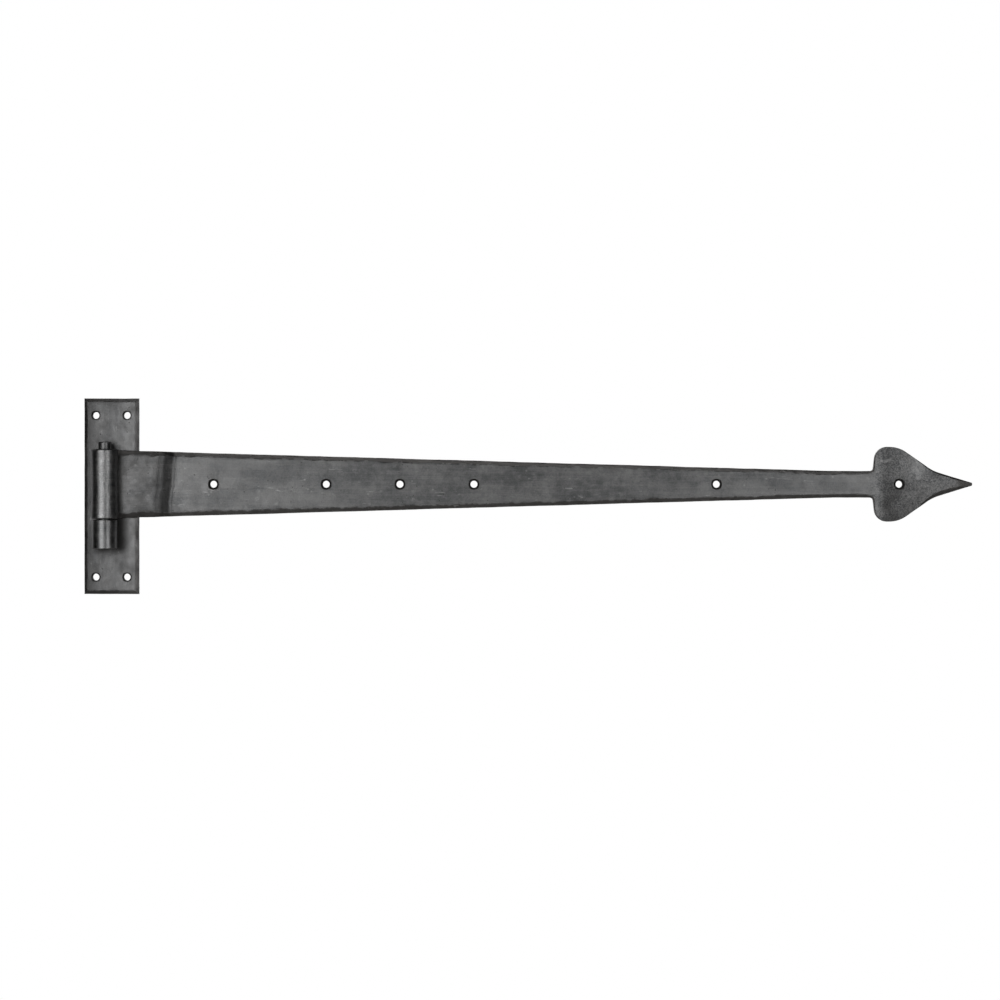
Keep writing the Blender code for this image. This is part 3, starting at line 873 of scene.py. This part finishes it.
def band_wear(at, points, s, lean, outward, raised, marks):
    """Where the band takes painted highlights, sandy grain, painted shade and a burnt tip.

    The eye's crest takes a painted highlight in a ragged stripe.  Painted shade lies beside the
    eye, in streaks at the step's foot and over the leaf, most over its lower lobe; the raised
    stretch is darker in patches; the leaf has two painted highlights and a burnt tip.
    """
    x, y, z = points.T
    # The eye's front crest gets a painted highlight: a ragged stripe of brighter colour.
    facing = np.degrees(np.arctan2(x, PIN_Y - y)) + 2
    ragged = 5 * line_noise(z, 0.006, 33) + 3 * line_noise(z, 0.002, 34)
    off_crest = np.abs(facing + ragged * np.sign(facing))
    crest = np.interp(off_crest, [27, 31], [1, 0]) * (s < at.roll_end) * outward
    sandy = np.maximum(crest, np.interp(s, [at.neck - 0.004, at.neck + 0.006], [0, 1]))

    # Painted shade beside the eye, where it stands out over the raised stretch.
    seam = np.hypot(x - EYE_RADIUS - 0.0004, 0.6 * (y + 0.0125))
    beside_eye = np.interp(seam, [0.0008, 0.0036], [1, 0]) * (x < 0.02)
    patches = noise(points, 0.008, 35) + 0.8 * noise(points, 0.0026, 40)
    streaks = noise(points * (1, 1, 0.22), 0.0015, 36)
    # Painted shade at the step's foot, in streaks.
    foot_ends = [at.ends[1] - 0.006, at.ends[2], at.ends[3], at.ends[3] + 0.003]
    foot = np.interp(s - lean, foot_ends, [0, 0.52, 0.50, 0])
    # Painted shade over the leaf, deepening towards its lower lobe.
    lobe = np.interp(x + 1.6 * z, [TIP_X - 0.070, TIP_X - 0.020], [1, 0])
    on_leaf = np.interp(s, [at.neck + 0.002, at.neck + 0.009], [0, 1])
    dusk = on_leaf * (0.27 + 0.36 * lobe)
    # Colour darkened by painted shade beside the eye, at the step's foot and over the leaf; the
    # raised stretch is darker in patches.
    shade_and_patches = [
        beside_eye,
        raised * (0.31 + 0.24 * patches),
        foot * (1 + 0.30 * streaks),
        dusk * (1 + 0.4 * noise(points, 0.006, 37)),
    ]
    corner = np.maximum.reduce(shade_and_patches)

    # Two painted highlights on the leaf: brighter patches that also lift its painted shade.
    upper = np.hypot(x - TIP_X + 0.039, z - BAND_Z - 0.011)
    upper = np.interp(upper, [0.003, 0.012], [1, 0]) * (0.8 + 0.6 * noise(points, 0.0025, 42))
    lower = np.hypot(x - TIP_X + 0.0665, z - BAND_Z + 0.0045)
    lower = np.interp(lower, [0.0005, 0.004], [0.8, 0])
    patch = np.clip(np.maximum(upper, lower), 0, 1)
    burnt = s + 0.002 * noise(points, 0.004, 38)
    burnt = np.interp(burnt, [at.end - 0.012, at.end - 0.009], [0, 1])
    marks[:, 1] = np.maximum(marks[:, 1], burnt)
    # Painted shade gives way under the painted highlights; the burnt tip is blackened.
    corner = np.maximum(corner * (1 - 0.9 * patch), 0.50 * burnt)
    rubbed = np.maximum(crest, 0.55 * patch)
    return marked(marks, rubbed=rubbed, sandy=sandy, corner=corner)


def band_mesh():
    """The band's slab, bent round the eye and over the step, then hammered.

    The step leans and wavers, the eye is drawn in at its middle, and the
    raised stretch has taken the heaviest blows.
    """
    at = BandStations()
    flat, faces, marks = band_slab(at).finished()
    s, through, z = flat.T
    lean = STEP_LEAN * z + 0.0007 * line_noise(z, 0.011, 39)
    lean = lean * np.interp(s, [at.root, at.ends[1] - 0.004], [0, 1])
    points = bent(flat, at.start, at.heading, at.stretches, lean)
    in_eye = np.interp(s, [at.roll_end - 0.002, at.roll_end + 0.004], [1, 0])
    waist = EYE_WAIST * (through > 0) * in_eye * (1 - (2 * z / EYE_HEIGHT) ** 2)
    points -= vertex_normals(points, faces) * waist[:, None]
    raised_ends = [at.roll_end, at.roll_end + 0.001, at.ends[2], at.ends[3]]
    raised = np.interp(s, raised_ends, [0, 1, 1, 0])
    broad, fine = 0.00030 + 0.00022 * raised, 0.00003 + 0.00002 * raised
    points = hammered(points, faces, marks[:, 2], broad, fine, 31)
    points[:, 1] = np.minimum(points[:, 1], -SKIN)
    points[:, 2] += BAND_Z
    return points, faces, flat, band_wear(at, points, s, lean, through > 0, raised, marks)


# --- The hook: plate, knuckle and pin ---


def plate_slab(half_width, half_height, middle_x):
    """The plate as a slab that stands on end, with four holes and a slot."""
    hole_x, hole_z = half_width - PLATE_HOLE_FROM_SIDE, half_height - PLATE_HOLE_FROM_END
    slot_x = KNUCKLE_THICKNESS + FIT / 2 - SLOT_LAP / 2
    slot_low = (LOOP_LOW[2] + SLOT_LAP, -middle_x - slot_x)
    slot_high = (LOOP_HIGH[2] - SLOT_LAP, -middle_x + slot_x)
    holes = [(side * hole_z, end * hole_x) for side in (-1, 1) for end in (-1, 1)]
    forced_z, forced_x = (list(pair) for pair in zip(slot_low, slot_high))
    for side in (-1, 1):
        forced_x += [side * hole_x - HOLE_WINDOW, side * hole_x + HOLE_WINDOW]
        forced_z += [side * hole_z - HOLE_WINDOW, side * hole_z + HOLE_WINDOW]
    reach_x, reach_z = half_width - PLATE_CHAMFER_WIDTH, half_height - PLATE_CHAMFER_WIDTH
    across = filled([-reach_x, *forced_x, reach_x], [(0.0, HOLE_CELL), (1.0, HOLE_CELL)])
    along = filled([-reach_z, *forced_z, reach_z], [(0.0, 0.0009), (1.0, 0.0009)])
    grow_x = np.interp(np.abs(across), [hole_x + HOLE_WINDOW, reach_x], [0, 1])
    grow_z = np.interp(np.abs(along), [hole_z + HOLE_WINDOW, reach_z], [0, 1])

    def face(extra, through):
        """A face's grid, whose outer lines are pushed out by extra."""
        x = across + np.sign(across) * grow_x * extra
        z = along + np.sign(along) * grow_z * extra
        grid_z, grid_x = np.meshgrid(z, x, indexing="ij")
        return np.stack([grid_z, np.full_like(grid_z, through), grid_x], 2)

    front = face(0.0, -PLATE_THICKNESS / 2)
    back = face(PLATE_CHAMFER_WIDTH - BROKEN_EDGE, PLATE_THICKNESS / 2)
    outer = rim_of(face(PLATE_CHAMFER_WIDTH, 0.0))[:, [0, 2]]
    edge = np.column_stack([outer, np.zeros(len(outer))])
    bite = 0.5 + 0.5 * noise(edge, 0.007, 41)
    depths = PLATE_CHAMFER_DEPTH * (0.75 + 0.5 * bite)
    back_depths = np.full(len(outer), BROKEN_EDGE)
    rings = rim_rings(front, back, outer, depths, back_depths, PLATE_THICKNESS)
    slab = Slab(front, back, rings)
    for hole in holes:
        slab.drill(hole, hole_profile(PLATE_THICKNESS, HOLE_RADIUS))
    slab.slot(slot_low, slot_high)
    return slab


def plate_wear(points, marks):
    """A painted highlight towards the band's side, painted shadow round the knuckle, darker to
    the left and in patches.
    """
    x, z = points[:, 0], points[:, 2]
    cloud = 0.004 * noise(points, 0.018, 53) + 0.002 * noise(points, 0.006, 54)
    # Painted highlight: the plate's colour brightens towards the band's side.
    rubbed = np.interp(x + cloud, [0.000, 0.018], [0, 0.75])
    foot_x = np.maximum(np.abs(x - 0.0025) - 0.0080, 0)
    foot_z = np.maximum(np.abs(z - LOOP_Z) - LOOP_HALF, 0)
    patches = noise(points, 0.010, 55) + 0.8 * noise(points, 0.0032, 56)
    # Painted shadow round the knuckle, darker to the knuckle's left, and darker patches all over.
    shade_and_patches = [
        np.interp(np.hypot(foot_x, foot_z), [0.0, 0.006], [0.90, 0]),
        np.interp(x, [-0.013, -0.006], [0.45, 0]),
        0.06 + 0.32 * patches,
    ]
    return marked(marks, rubbed=rubbed, corner=np.maximum.reduce(shade_and_patches))


def plate_mesh():
    """The plate's slab, stood up with its back on the wall, and hammered."""
    half_width = (PLATE_HIGH[0] - PLATE_LOW[0]) / 2
    half_height = (PLATE_HIGH[2] - PLATE_LOW[2]) / 2
    middle_x = (PLATE_HIGH[0] + PLATE_LOW[0]) / 2
    flat, faces, marks = plate_slab(half_width, half_height, middle_x).finished()
    z, y, x = flat.T
    points = np.stack([x + middle_x, y - PLATE_THICKNESS / 2, z], 1)
    faces = faces[:, ::-1]
    points = hammered(points, faces, marks[:, 2], 0.00030, 0.00003, 51)
    return points, faces, flat, plate_wear(points, marks)


def knuckle_bend():
    """The knuckle's path in plan: a tail, round the pin, and the other tail."""
    loop_radius = BORE_RADIUS + KNUCKLE_THICKNESS / 2
    tail_x = KNUCKLE_THICKNESS / 2 + FIT / 2
    across = tail_x + TAIL_BEND_RADIUS
    reach = math.sqrt((loop_radius + TAIL_BEND_RADIUS) ** 2 - across**2)
    turn = math.atan2(reach, across)
    tail = (-PIN_Y - reach, 0.0)
    bend = (TAIL_BEND_RADIUS * turn, -1 / TAIL_BEND_RADIUS)
    loop = (loop_radius * (math.pi + 2 * turn), 1 / loop_radius)
    return (-tail_x, 0.0), -math.pi / 2, [tail, bend, loop, bend, tail]


def knuckle_mesh():
    """The knuckle's strip as a slab, bent into a loop with two tails."""
    start, heading, stretches = knuckle_bend()
    ends = np.cumsum([length for length, _ in stretches])
    end = ends[-1]
    s = filled([SKIN, *ends[:-1], end - SKIN], [(0.0, 0.0004), (1.0, 0.0004)])
    z = np.linspace(-1, 1, 33)
    outer_edge = 0.0006 + 0.0003 * line_noise(s, 0.004, 61)
    inner_edge = np.full(len(s), BROKEN_EDGE)
    in_loop = np.interp(s, [0.009, 0.012, end - 0.012, end - 0.009], [0, 1, 1, 0])
    inward = 0.00008 * (1 + line_noise(s, 0.006, 62)) * in_loop

    def face(inset, through):
        """A face's grid, as wide as the strip less its edge."""
        width = LOOP_HALF - inward - inset
        along = np.repeat(s[:, None], len(z), axis=1)
        return np.stack([along, np.full_like(along, through), width[:, None] * z], 2)

    front = face(outer_edge, -KNUCKLE_THICKNESS / 2)
    back = face(inner_edge, KNUCKLE_THICKNESS / 2)
    i, j = np.divmod(rim_of(grid_numbers(front)), len(z))
    outer = np.stack([s[i], (LOOP_HALF - inward)[i] * z[j]], 1)
    depths = outer_edge[i], inner_edge[i]
    rings = rim_rings(front, back, outer, *depths, KNUCKLE_THICKNESS)
    flat, faces, marks = Slab(front, back, rings).finished()
    points = bent(flat, start, heading, stretches)
    points = hammered(points, faces, marks[:, 2], 0.00018, 0.00003, 63)
    points[:, 2] += LOOP_Z
    return points, faces, flat, marked(marks)


def pin_mesh():
    """The pin: circles up a bevelled profile, each closed on its own middle.

    The radius gives way by a slow wander and by lines drawn up the bar.
    """
    radius, bevel = PIN_RADIUS - SKIN, PIN_BEVEL
    low, high = PIN_LOW[2] + SKIN, PIN_HIGH[2] - SKIN
    # Shares of the radius and of the bevel, from an end's middle to the body.
    profile = [(0, 0), (0.35, 0), (0.7, 0), (0.86, 0), (0.91, 0.1), (0.97, 0.55), (1, 1)]
    share, rise = np.array(profile).T
    body = np.linspace(low + 1.4 * bevel, high - 1.4 * bevel, 110)
    heights = np.concatenate([low + bevel * rise, body, high - bevel * rise[::-1]])
    shares = np.concatenate([share, np.ones(len(body)), share[::-1]])
    angles = np.linspace(0, 2 * math.pi, PIN_SIDES, endpoint=False)
    height, angle = (grid.ravel() for grid in np.meshgrid(heights, angles, indexing="ij"))
    base = np.stack([np.cos(angle), np.sin(angle), height], 1)
    slow = 0.5 + 0.5 * noise(base * (0.004, 0.004, 0.35), 0.004, 71)
    fine = 0.5 + 0.5 * noise(base * (0.02, 0.02, 0.05), 0.002, 72)
    share = np.repeat(shares, PIN_SIDES)
    shown = share * (radius - 0.00005 * slow - 0.00001 * fine)
    points = np.stack([shown * base[:, 0], shown * base[:, 1] + PIN_Y, height], 1)
    numbers = grid_numbers(height.reshape(-1, PIN_SIDES))
    wrapped = np.concatenate([numbers, numbers[:, :1]], axis=1)
    faces = grid_faces(wrapped, np.ones((len(heights) - 1, PIN_SIDES), bool))[:, ::-1]
    flat = np.stack([height, radius * base[:, 0], radius * base[:, 1]], 1)
    near_end = np.minimum(height - low, high - height)
    marks = np.zeros((len(points), 3))
    marks[:, 0] = np.interp(near_end, [bevel, 2 * bevel], [1, 0]) * (share > 0.9)
    return points, faces, flat, marked(marks)


# --- The whole ---

# Piece, shape, body, node and slot; then tone, roughness, draw lines' and grain's
# heights, and seed of its finish.
FORGINGS = (
    ("forged_band", band_mesh, "strap", "band", "band_steel",
     (0.27, 0.42, 0.000006, 0.000005, 0.0)),
    ("hook_plate", plate_mesh, "hook", "back_plate", "plate_steel",
     (0.20, 0.42, 0.000003, 0.000007, 0.7)),
    ("bent_knuckle", knuckle_mesh, "hook", "knuckle_loop", "knuckle_steel",
     (0.33, 0.38, 0.000004, 0.000006, 1.9)),
    ("round_pin", pin_mesh, "pin", "pintle_pin", "pin_steel",
     (0.19, 0.38, 0.000008, 0.000004, 2.7)),
)


def build_hinge():
    """All four forgings, with their finishes."""
    groups = draw_lines_group(), scale_mottle_group(), nicks_group()
    for name, shape, body, node, slot_name, look in FORGINGS:
        finish = forged_steel("waxed_" + slot_name, groups, *look)
        add_piece(name, shape(), finish, body, node)


# --- Studio ---


def soft_box(name, place, target, size, power):
    """A rectangular area light aimed at a point."""
    light = bpy.data.lights.new(name, "AREA")
    light.shape = "RECTANGLE"
    light.size, light.size_y = size
    light.energy = power
    lamp = placed(name, light)
    lamp.location = place
    way = np.array(target) - np.array(place)
    tilt = math.acos(-way[2] / np.linalg.norm(way))
    lamp.rotation_euler = (tilt, 0.0, math.atan2(way[1], way[0]) - math.pi / 2)


def place_camera():
    """A long lens, square to the wall and level with the pin's middle."""
    camera = bpy.data.cameras.new("camera")
    camera.lens, camera.sensor_width = 100.0, 36.0
    camera.clip_start, camera.clip_end = 0.05, 50.0
    eye = placed("camera", camera)
    eye.location = (0.2728, -1.932, -0.0026)
    eye.rotation_euler = (math.pi / 2, 0.0, 0.0)
    bpy.context.scene.camera = eye


def surroundings():
    """White to the camera, and a dim wall behind the hinge to light its rims."""
    world = bpy.data.worlds.new("studio")
    bpy.context.scene.world = world
    nodes = emptied(world)
    direction = nodes.add("ShaderNodeTexCoord").outputs["Generated"]
    y = nodes.add("ShaderNodeSeparateXYZ", {0: direction}).outputs["Y"]
    wall = nodes.between(y, 0.30, 0.85, 0.004, 0.35)
    seen = nodes.add("ShaderNodeLightPath").outputs["Is Camera Ray"]
    strength = nodes.math("MAXIMUM", wall, seen)
    sky = nodes.add("ShaderNodeBackground", {"Color": (1.0, 1.0, 1.0, 1.0), "Strength": strength})
    nodes.add("ShaderNodeOutputWorld", {"Surface": sky.outputs[0]})


def lay_floor():
    """A plain pale sheet, as white as its surroundings to the camera."""
    paper = bpy.data.materials.new("pale_floor")
    nodes = emptied(paper)
    surface = {"Base Color": (0.62, 0.62, 0.61, 1.0), "Roughness": 0.9}
    surface["Emission Color"] = (1.0, 1.0, 1.0, 1.0)
    seen = nodes.add("ShaderNodeLightPath").outputs["Is Camera Ray"]
    principled(nodes, {**surface, "Emission Strength": seen})
    sheet = bpy.data.meshes.new("pale_floor")
    x0, x1, y0, y1, z = FLOOR
    sheet.from_pydata([(x0, y0, z), (x1, y0, z), (x1, y1, z), (x0, y1, z)], [], [(0, 1, 2, 3)])
    sheet.materials.append(paper)
    placed("pale_floor", sheet)


def studio():
    """The camera, the pale surroundings and floor, and the soft lights."""
    bpy.context.scene.view_settings.view_transform = "Standard"
    place_camera()
    surroundings()
    eye_end, middle = (0.05, 0.0, 0.0), (0.22, 0.0, 0.0)
    soft_box("left_softbox", (-0.55, -1.43, 0.05), eye_end, (1.05, 0.9), 4.95)
    soft_box("right_softbox", (0.92, -1.24, 0.0), middle, (0.70, 0.8), 2.3)
    soft_box("top_softbox", (0.22, -0.7, 1.4), middle, (1.5, 0.4), 2.0)
    soft_box("low_softbox", (0.22, -0.7, -1.4), middle, (1.5, 0.4), 0.5)
    soft_box("back_softbox", (0.22, 1.5, 0.7), middle, (1.5, 0.9), 5.0)
    lay_floor()


studio()
build_hinge()
